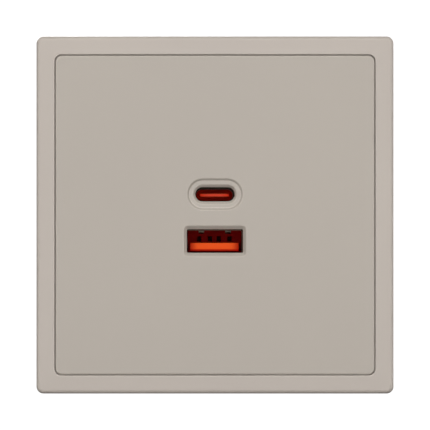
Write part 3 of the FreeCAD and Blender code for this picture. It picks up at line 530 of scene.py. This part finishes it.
port_middle = (large_low.x + large_high.x) / 2
large_base = port_front + 9.0 * mm
small_base = port_front + 5.0 * mm
large_orange = orange_with_painted_shade(
    "large_orange", (232, 83, 29), (236, 90, 35), (168, 3, 0), large_base,
    tongue_half=5.55 * mm, slot_start=large_base + 0.2 * mm, foot=-8.0 * mm,
)
dress("usb_a_insulator", large_orange)
small_orange = orange_with_painted_shade(
    "small_orange", (206, 64, 42), (212, 71, 48), (208, 45, 15), small_base, tongue_half=3.35 * mm
)
eased("usb_c_tongue", "usb_c_tongue_blade", 0.16 * mm, small_orange, "root", "port_orange")


# Port contacts: stamped phosphor bronze strips, plated with gold where a plug touches them.
# They lie on the tongues, and the large port's four run on through the port board.
contact_gold = metalled(
    "contact_gold", (196, 142, 66), (214, 162, 84), (232, 190, 120), (0.32, 0.46)
)
dress("usb_a_contacts", contact_gold)
# The small port's contacts are coloured a much darker, redder gold.
dark_red_gold = metalled("dark_red_gold", (92, 44, 18), (108, 54, 24), (120, 66, 34), (0.28, 0.40))
dress("usb_c_contacts", dark_red_gold)


# Support ring: one stamping of 1.2 mm zinc plated steel, with slots for the wall box's
# screws and two pairs of ears bent back. Its sheared edges are rolled over a little.
zinc_plate = metalled(
    "zinc_plate", (196, 198, 200), (214, 216, 217), (232, 233, 233), (0.44, 0.60),
    grain_size=0.3 * mm, grain_depth=0.002 * mm, cloud=7 * mm,
)
eased("support_ring", "support_ring_stamping", 0.12 * mm, zinc_plate, "root", "ring_steel")


# Housing front: dark glass-filled nylon, moulded round the two port shells, with four
# posts that press the port board into place. It is clamped on the ring's face.
insert_skin = moulded(
    "insert_skin", (70, 70, 73), (80, 80, 82), (0.46, 0.58), 0.18 * mm, 0.005 * mm
)
dress("housing_front", insert_skin)


# Rear casing: a deep box of anthracite flame-proof polycarbonate, with vents in its top and
# bottom. The mould leaves small radii on its edges, a blank sunk panel above the terminals,
# and a stepped groove beside them against which a wire is held to strip it.
def sunk_panel(centre, width, height, depth, corner):
    """A cutter for a shallow rounded pocket in the casing's back, at that (x, z) centre."""
    bpy.ops.object.select_all(action="DESELECT")
    bpy.ops.mesh.primitive_cube_add(size=1.0, location=(centre[0], casing_back, centre[1]))
    block = bpy.context.object
    block.scale = (width, 2 * depth, height)
    bpy.ops.object.transform_apply(location=True, rotation=True, scale=True)
    bpy.ops.object.mode_set(mode="EDIT")
    bpy.ops.mesh.select_mode(type="EDGE")
    bpy.ops.mesh.select_all(action="DESELECT")
    bpy.ops.object.mode_set(mode="OBJECT")
    for edge in block.data.edges:
        ends = [block.data.vertices[index].co for index in edge.vertices]
        edge.select = abs(ends[0].y - ends[1].y) > depth
    bpy.ops.object.mode_set(mode="EDIT")
    bpy.ops.mesh.bevel(offset=corner, segments=5, affect="EDGES")
    bpy.ops.mesh.select_mode(type="VERT")
    bpy.ops.object.mode_set(mode="OBJECT")
    return block


casing_skin = moulded(
    "casing_skin", (50, 51, 54), (60, 61, 64), (0.44, 0.56), 0.35 * mm, 0.008 * mm, 18 * mm
)
casing_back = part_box("rear_casing")[1].y
gauge_line = -6.1 * mm
pockets = [
    sunk_panel((0.0, 5.5 * mm), 23 * mm, 17 * mm, 0.4 * mm, 1.2 * mm),
    sunk_panel((0.0, gauge_line), 12 * mm, 1.8 * mm, 0.5 * mm, 0.5 * mm),
    sunk_panel((7.6 * mm, gauge_line), 2.4 * mm, 2.8 * mm, 0.5 * mm, 0.4 * mm),
]
eased(
    "rear_casing", "rear_casing_moulding", 0.3 * mm, casing_skin, "root", "casing_plastic",
    recesses=pockets,
)


# Screws: cold headed steel with a pan head, a cross recess and a rolled thread, zinc
# plated. Four short ones clamp the housing, and two longer ones spread the claws.
def turned(profile, sides=48):
    """A round solid along +Z, drawn up ring by ring from (radius, height) pairs."""
    radius, height = profile[0]
    bpy.ops.object.select_all(action="DESELECT")
    bpy.ops.mesh.primitive_circle_add(
        vertices=sides, radius=radius, fill_type="NGON", location=(0.0, 0.0, height)
    )
    piece = bpy.context.object
    bpy.ops.object.transform_apply(location=True, rotation=True, scale=True)
    bpy.ops.object.mode_set(mode="EDIT")
    bpy.ops.mesh.select_all(action="SELECT")
    for next_radius, next_height in profile[1:]:
        bpy.ops.mesh.extrude_region_move(
            TRANSFORM_OT_translate={"value": (0.0, 0.0, next_height - height)}
        )
        share = next_radius / radius
        bpy.ops.transform.resize(
            value=(share, share, 1.0), center_override=(0.0, 0.0, next_height)
        )
        radius, height = next_radius, next_height
    bpy.ops.mesh.select_all(action="SELECT")
    bpy.ops.mesh.normals_make_consistent(inside=False)
    bpy.ops.object.mode_set(mode="OBJECT")
    return piece


def coil(thick, round_radius, pitch, turns, start, sides, steps=28):
    """A closed helix along +Z: a ring of that thickness swept round and filled at its ends."""
    bpy.ops.object.select_all(action="DESELECT")
    bpy.ops.mesh.primitive_circle_add(
        vertices=sides, radius=thick, fill_type="NOTHING",
        location=(round_radius, 0.0, start), rotation=(math.radians(90), 0.0, 0.0),
    )
    piece = bpy.context.object
    bpy.ops.object.transform_apply(location=True, rotation=True, scale=True)
    apply_modifier(
        piece, "SCREW", axis="Z", angle=math.tau, screw_offset=pitch, iterations=turns,
        steps=steps, render_steps=steps, use_merge_vertices=False,
    )
    bpy.ops.object.mode_set(mode="EDIT")
    bpy.ops.mesh.select_all(action="SELECT")
    bpy.ops.mesh.remove_doubles(threshold=0.0005 * mm)
    bpy.ops.mesh.fill_holes(sides=sides)
    bpy.ops.mesh.select_all(action="SELECT")
    bpy.ops.mesh.normals_make_consistent(inside=False)
    bpy.ops.object.mode_set(mode="OBJECT")
    return piece


def merged(pieces):
    """Joins pieces into the first of them."""
    pick(*pieces)
    bpy.ops.object.join()
    return bpy.context.object


def cross_screw(head_radius, head_height, shank_radius, length, pitch=0.5 * mm):
    """A screw along Z: the head's seat is at zero, and the shank points down."""
    crown = [
        (0.90, 0.0), (0.97, 0.03), (1.0, 0.12), (1.0, 0.55), (0.96, 0.76), (0.86, 0.91),
        (0.70, 0.98), (0.50, 1.0),
    ]
    head = turned([(head_radius * wide, head_height * high) for wide, high in crown])
    long_side, short_side = 0.84 * head_radius, 0.26 * head_radius
    for width, depth in ((short_side, long_side), (long_side, short_side)):
        bpy.ops.object.select_all(action="DESELECT")
        bpy.ops.mesh.primitive_cube_add(size=1.0, location=(0.0, 0.0, head_height))
        wing = bpy.context.object
        wing.scale = (width, depth, head_height)
        bpy.ops.object.transform_apply(location=True, rotation=True, scale=True)
        for vertex in wing.data.vertices:
            vertex.select = vertex.co.z < head_height
        bpy.ops.object.mode_set(mode="EDIT")
        bpy.ops.transform.resize(value=(0.72, 0.72, 1.0), center_override=(0.0, 0.0, 0.0))
        bpy.ops.object.mode_set(mode="OBJECT")
        apply_modifier(head, "BOOLEAN", operation="DIFFERENCE", object=wing, solver="EXACT")
        bpy.data.objects.remove(wing)
    root = shank_radius * 0.84
    shank = turned(
        [(root * 0.75, -length), (root, -length + 0.3 * root), (root, 0.1 * head_height)], 32
    )
    turns = int((length - 1.2 * pitch) / pitch)
    thread = coil(shank_radius - root, root, pitch, turns, -length + 0.7 * pitch, sides=3)
    return merged([head, shank, thread])


def face_forward(piece, x, seat, z):
    """Stands a piece that was made along +Z so that its top looks towards the front."""
    pick(piece)
    piece.rotation_euler = (math.radians(90), 0.0, 0.0)
    piece.location = (x, seat, z)
    bpy.ops.object.transform_apply(location=True, rotation=True, scale=True)


def copied(piece):
    """The same piece once more, with its own mesh."""
    twin = piece.copy()
    twin.data = piece.data.copy()
    bpy.context.collection.objects.link(twin)
    return twin


screw_zinc = metalled(
    "screw_zinc", (178, 178, 176), (200, 200, 197), (226, 226, 224), (0.22, 0.38),
    grain_size=0.12 * mm, grain_depth=0.001 * mm, cloud=2 * mm,
)
low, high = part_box("housing_screws")
head_radius, head_height = 2.4 * mm, 1.6 * mm
seat = low.y + head_height
pattern = cross_screw(head_radius, head_height, 1.3 * mm, high.y - seat)
screws = []
for x in (low.x + head_radius, high.x - head_radius):
    for z in (low.z + head_radius, high.z - head_radius):
        screw = copied(pattern)
        face_forward(screw, x, seat, z)
        screws.append(screw)
bpy.data.objects.remove(pattern)
settle(merged(screws), "housing_screw_set", screw_zinc, "root", "screw_steel", "housing_screws")

for side in ("right", "left"):
    node = f"claw_screw_{side}"
    low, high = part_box(node)
    middle = (low + high) / 2
    head_radius, head_height = (high.x - low.x) / 2, 1.8 * mm
    seat = low.y + head_height
    screw = cross_screw(head_radius, head_height, 1.25 * mm, high.y - seat)
    face_forward(screw, middle.x, seat, middle.z)
    settle(screw, f"claw_bolt_{side}", screw_zinc, node, "screw_steel", node)


# Claws: spring steel strip, stamped with teeth at the tip and bent, then hardened and
# plated in yellow zinc. Each turns on two stubs in the ring's ears.
yellow_zinc = metalled(
    "yellow_zinc", (176, 160, 106), (192, 182, 140), (214, 208, 186), (0.30, 0.44),
    grain_size=0.25 * mm, grain_depth=0.002 * mm, cloud=3 * mm,
)
for side in ("right", "left"):
    node = f"claw_{side}"
    eased(node, f"spreading_claw_{side}", 0.1 * mm, yellow_zinc, node, "claw_steel")


# Terminal block: grey polyamide in the casing's window, with two wire holes and a button
# guide for each pole.
terminal_skin = moulded(
    "terminal_skin", (124, 124, 126), (136, 136, 137), (0.42, 0.54), 0.2 * mm, 0.005 * mm
)
eased("terminal_block", "terminal_moulding", 0.12 * mm, terminal_skin, "root", "insert_plastic")


# Busbars: punched and bent copper strip that lies under the wires, one for each pole. Its
# pin goes through the power board.
bar_copper = metalled(
    "bar_copper", (200, 126, 88), (216, 144, 104), (236, 178, 142), (0.26, 0.40),
    grain_depth=0.0004 * mm,
)
for pole in ("line", "neutral"):
    dress(f"busbar_{pole}", bar_copper)


# Clamp springs: hardened leaf springs, bent from 0.4 mm strip. The long leg lies under the
# terminal's roof, and the button pushes the leg that holds the wires.
def bent_leaf(path, width, thickness, middle):
    """A strip of that width, drawn along (y, z) points, with its edges rounded."""
    bpy.ops.object.select_all(action="DESELECT")
    bpy.ops.mesh.primitive_plane_add(size=1.0, location=(0.0, 0.0, 0.0))
    leaf = bpy.context.object
    for vertex in leaf.data.vertices:
        vertex.co = (middle + math.copysign(width / 2, vertex.co.x), *path[vertex.co.y > 0])
        vertex.select = False
    corners = {vertex.index for vertex in leaf.data.vertices if abs(vertex.co.y - path[1][0]) < 1e-9}
    bpy.ops.object.mode_set(mode="EDIT")
    bpy.ops.mesh.select_mode(type="EDGE")
    bpy.ops.mesh.select_all(action="DESELECT")
    bpy.ops.object.mode_set(mode="OBJECT")
    for edge in leaf.data.edges:
        edge.select = set(edge.vertices) == corners
    bpy.ops.object.mode_set(mode="EDIT")
    for here, there in zip(path[1:], path[2:]):
        step = (0.0, there[0] - here[0], there[1] - here[1])
        bpy.ops.mesh.extrude_region_move(TRANSFORM_OT_translate={"value": step})
    bpy.ops.mesh.select_mode(type="VERT")
    bpy.ops.object.mode_set(mode="OBJECT")
    apply_modifier(leaf, "SOLIDIFY", thickness=thickness, offset=0.0, use_even_offset=True)
    apply_modifier(
        leaf, "BEVEL", width=thickness / 6, segments=2, limit_method="ANGLE",
        angle_limit=math.radians(60), use_clamp_overlap=True,
    )
    return leaf


def arc(centre, radius, first, last, steps):
    """Points of a bend, as (y, z), from one angle to another in degrees."""
    points = []
    for step in range(steps + 1):
        angle = math.radians(first + (last - first) * step / steps)
        points.append((centre[0] + radius * math.cos(angle), centre[1] + radius * math.sin(angle)))
    return points


leaf_thickness = 0.4 * mm
leaf_half = leaf_thickness / 2
loop = 1.0 * mm
spring_blue = metalled(
    "spring_blue", (146, 148, 154), (166, 168, 173), (206, 207, 210), (0.20, 0.32)
)
for pole in ("line", "neutral"):
    node = f"clamp_spring_{pole}"
    low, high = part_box(node)
    seat = high.z - leaf_half
    front = low.y + leaf_half
    back = high.y - leaf_half
    foot = low.z + leaf_half
    path = [(back - loop, seat), (back - 2.4 * loop, seat)]
    path += arc((front + loop, seat - loop), loop, 90, 270, 10)
    knee = (back - 0.35 * loop, seat - 3.1 * loop)
    path += [(front + 1.8 * loop, seat - 2.1 * loop), (knee[0] - 0.6 * loop, knee[1] + 0.18 * loop)]
    path += arc((knee[0] - 0.45 * loop, knee[1] - 0.42 * loop), 0.62 * loop, 75, -15, 6)
    path += [(back - 2.0 * loop, foot + 0.2 * loop), (back - 2.05 * loop, foot)]
    leaf = bent_leaf(path, high.x - low.x, leaf_thickness, (low.x + high.x) / 2)
    settle(leaf, f"wire_spring_{pole}", spring_blue, "root", "spring_steel", node, smooth=50)
    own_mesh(leaf)


# Release buttons: orange polyamide levers that are pushed in with a thumb to let the
# wires go. Their tops have broken edges.
release_skin = moulded(
    "release_skin", (214, 96, 26), (224, 106, 36), (0.34, 0.46), 0.2 * mm, 0.004 * mm
)
for pole in ("line", "neutral"):
    node = f"release_button_{pole}"
    eased(node, f"release_lever_{pole}", 0.18 * mm, release_skin, node, "release_orange")


# Circuit boards: glass cloth and resin with copper tracks under green lacquer. Soldered pads
# stand on a grid of 2.54 mm, and the milled edge shows the bare tan laminate.
def board_finish():
    """Green lacquer over raised tracks, with bare pads and a laminate edge."""
    paint, tree, shell = new_paint("board_lacquer")
    where = shader_node(tree, "TexCoord")
    flat = shader_node(
        tree, "Mapping", {"Vector": where.outputs["Object"], "Scale": (1.0, 0.0, 1.0)}
    ).outputs[0]

    def cells(pitch, spread, metric):
        sockets = {"Vector": flat, "Scale": 1.0 / pitch, "Randomness": spread}
        return shader_node(tree, "TexVoronoi", sockets, distance=metric).outputs

    ring_pitch, ring_edge, patch_edge = 0.07, (0.030, 0.036), (0.46, 0.47)
    rings = worked(tree, "PINGPONG", cells(8 * mm, 1.0, "CHEBYCHEV")["Distance"], ring_pitch)
    patches = shader_node(tree, "TexNoise", {"Vector": flat, "Scale": 1.0 / (9 * mm)})
    patched = ramp(tree, patches.outputs["Fac"], *patch_edge)
    tracks = worked(tree, "MULTIPLY", ramp(tree, rings, *ring_edge), patched)
    pad_edge, pad_share = (0.23, 0.20), (0.68, 0.69)
    grid = cells(2.54 * mm, 0.0, "EUCLIDEAN")
    lot = shader_node(tree, "SeparateColor", {0: grid["Color"]}).outputs[0]
    drilled = ramp(tree, lot, *pad_share)
    pads = worked(tree, "MULTIPLY", ramp(tree, grid["Distance"], *pad_edge), drilled)
    surface = shader_node(tree, "NewGeometry")
    facing = shader_node(tree, "SeparateXYZ", {0: surface.outputs["Normal"]})
    face_on = worked(tree, "ABSOLUTE", facing.outputs["Y"])
    lacquer = blended(tree, tracks, colour((22, 78, 44)), colour((40, 112, 64)))
    lacquer = blended(tree, pads, lacquer, colour((196, 196, 190)))
    skin = skinned(tree, mould_skin, {"Grain Size": 0.5 * mm, "Grain Depth": 0.004 * mm})
    raised = shader_node(tree, "Bump", {
        "Distance": 0.03 * mm, "Height": worked(tree, "MAXIMUM", tracks, pads),
        "Normal": skin["Normal"],
    })
    fill(tree, shell, {
        "Base Color": blended(tree, ramp(tree, face_on, 0.6, 0.4), lacquer, colour((172, 160, 104))),
        "Metallic": worked(tree, "MULTIPLY", pads, ramp(tree, face_on, 0.4, 0.6)),
        "Roughness": ramp(tree, skin["Grain"], 0.0, 1.0, 0.22, 0.40),
        "Normal": raised.outputs[0],
    })
    return paint


board_lacquer = board_finish()
dress("port_board", board_lacquer)
dress("power_board", board_lacquer)


# Link pins: a row of square gold plated pins that carries the low voltage from one board
# to the other.
dress("board_link_pins", contact_gold)


# Transformer: two ground ferrite halves round a black bobbin. The copper is wound on the
# bobbin and wrapped in yellow film tape.
def banded(name, low, high, rough, pitch, axis):
    """Tape or wire laid side by side: soft bands along an axis, a little raised."""
    waves_in_unit = 3.14
    paint, tree, shell = new_paint(name)
    where = shader_node(tree, "TexCoord")
    sockets = {
        "Vector": where.outputs["Object"], "Scale": 1.0 / (waves_in_unit * pitch), "Distortion": 0.5,
    }
    bands = shader_node(tree, "TexWave", sockets, bands_direction=axis).outputs["Fac"]
    raised = shader_node(tree, "Bump", {"Height": bands, "Distance": 0.03 * mm})
    fill(tree, shell, {
        "Base Color": blended(tree, bands, colour(low), colour(high)), "Roughness": rough,
        "Normal": raised.outputs[0],
    })
    return paint


ferrite = moulded(
    "ferrite", (56, 56, 59), (72, 72, 75), (0.50, 0.68), 0.4 * mm, 0.012 * mm, 2 * mm
)
component_black = moulded(
    "component_black", (34, 34, 36), (44, 44, 46), (0.42, 0.56), 0.15 * mm, 0.005 * mm, 4 * mm
)
dress("transformer_core", ferrite)
dress("transformer_bobbin", component_black)
film_tape = banded("film_tape", (196, 156, 34), (222, 186, 62), 0.30, 2.5 * mm, "Z")
dress("transformer_winding", film_tape)


# Capacitors: drawn aluminium cans in shrunk sleeves, with a rolled groove near the board
# # and a rolled rim round the top.
def sleeved_can(radius, length):
    """A can along +Z from the board at zero, with a rim round its top."""
    foot = [
        (0.93, 0.0), (1.0, 0.04), (1.0, 0.35), (0.93, 0.45), (0.90, 0.52), (0.93, 0.59), (1.0, 0.69),
    ]
    rim = [(1.0, 0.16), (0.98, 0.07), (0.92, 0.01), (0.84, 0.0), (0.80, 0.05), (0.74, 0.05)]
    profile = [(radius * wide, radius * high) for wide, high in foot]
    profile += [(radius * wide, length - radius * drop) for wide, drop in rim]
    return turned(profile)


def sleeve_finish(name, middle, reach, across):
    """Blue shrunk sleeve with a pale stripe down the side that lies beyond the reach."""
    paint = moulded(name, (24, 34, 66), (32, 44, 80), (0.24, 0.36), 0.3 * mm, 0.003 * mm, 6 * mm)
    tree = paint.node_tree
    away = worked(tree, "ABSOLUTE", worked(tree, "SUBTRACT", own_place(tree)[across], middle))
    overlaid(tree, worked(tree, "GREATER_THAN", away, reach), (150, 156, 168))
    return paint


for node, name, across in (
    ("bulk_capacitors", "bulk_can_pair", "X"),
    ("output_capacitors", "output_can_pair", "Z"),
):
    low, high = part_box(node)
    upright = across == "X"
    radius = (high.x - low.x) / 2 if upright else (high.z - low.z) / 2
    middle = (low + high) / 2
    ends = (low.z + radius, high.z - radius) if upright else (low.x + radius, high.x - radius)
    sleeve = sleeve_finish(
        f"{name}_sleeve", middle.x if upright else middle.z, radius * 0.9, across
    )
    cans = []
    for place in ends:
        can = sleeved_can(radius, high.y - low.y)
        face_forward(can, middle.x if upright else place, high.y, place if upright else middle.z)
        cans.append(can)
    settle(merged(cans), name, sleeve, "root", "capacitor_sleeve", node)


# Suppression capacitor: wound film in a yellow box that is filled with resin. It bridges
# the mains and stands on the power board.
film_box = moulded(
    "film_box", (206, 164, 40), (216, 176, 52), (0.30, 0.42), 0.2 * mm, 0.003 * mm, 5 * mm
)
eased("suppression_capacitor", "suppression_box", 0.25 * mm, film_box, "root", "film_box_yellow")


# Choke: a ferrite spool wound turn by turn with enamelled copper wire, in two layers that
# its flanges hold in place.
enamel_copper = metalled(
    "enamel_copper", (168, 84, 46), (190, 104, 60), (216, 138, 92), (0.22, 0.34)
)
dress("choke_core", ferrite)
low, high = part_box("choke_winding")
wire = 0.33 * mm
pitch = 2.08 * wire
turns = int((high.y - low.y - 2 * wire) / pitch)
outer = (high.x - low.x) / 2
layers = []
for radius in (outer - wire, outer - 2.7 * wire):
    layers.append(coil(wire, radius, pitch, turns, wire, sides=8, steps=32))
winding = merged(layers)
face_forward(winding, (low.x + high.x) / 2, high.y, (low.z + high.z) / 2)
settle(winding, "choke_wire", enamel_copper, "root", "copper", "choke_winding")


# Rectifier, fuse and control chips: moulded epoxy bodies. The spreader beside them is a
# bent strip of rolled aluminium.
eased("bridge_rectifier", "rectifier_body", 0.2 * mm, component_black, "root", "component_black")
dress("mains_fuse", component_black)
eased("controller_chips", "chip_bodies", 0.08 * mm, component_black, "root", "component_black")
rolled_aluminium = metalled(
    "rolled_aluminium", (190, 191, 193), (208, 209, 210), (228, 229, 230), (0.28, 0.42),
    grain_size=0.25 * mm, grain_depth=0.002 * mm, cloud=6 * mm,
)
dress("heat_spreader", rolled_aluminium)
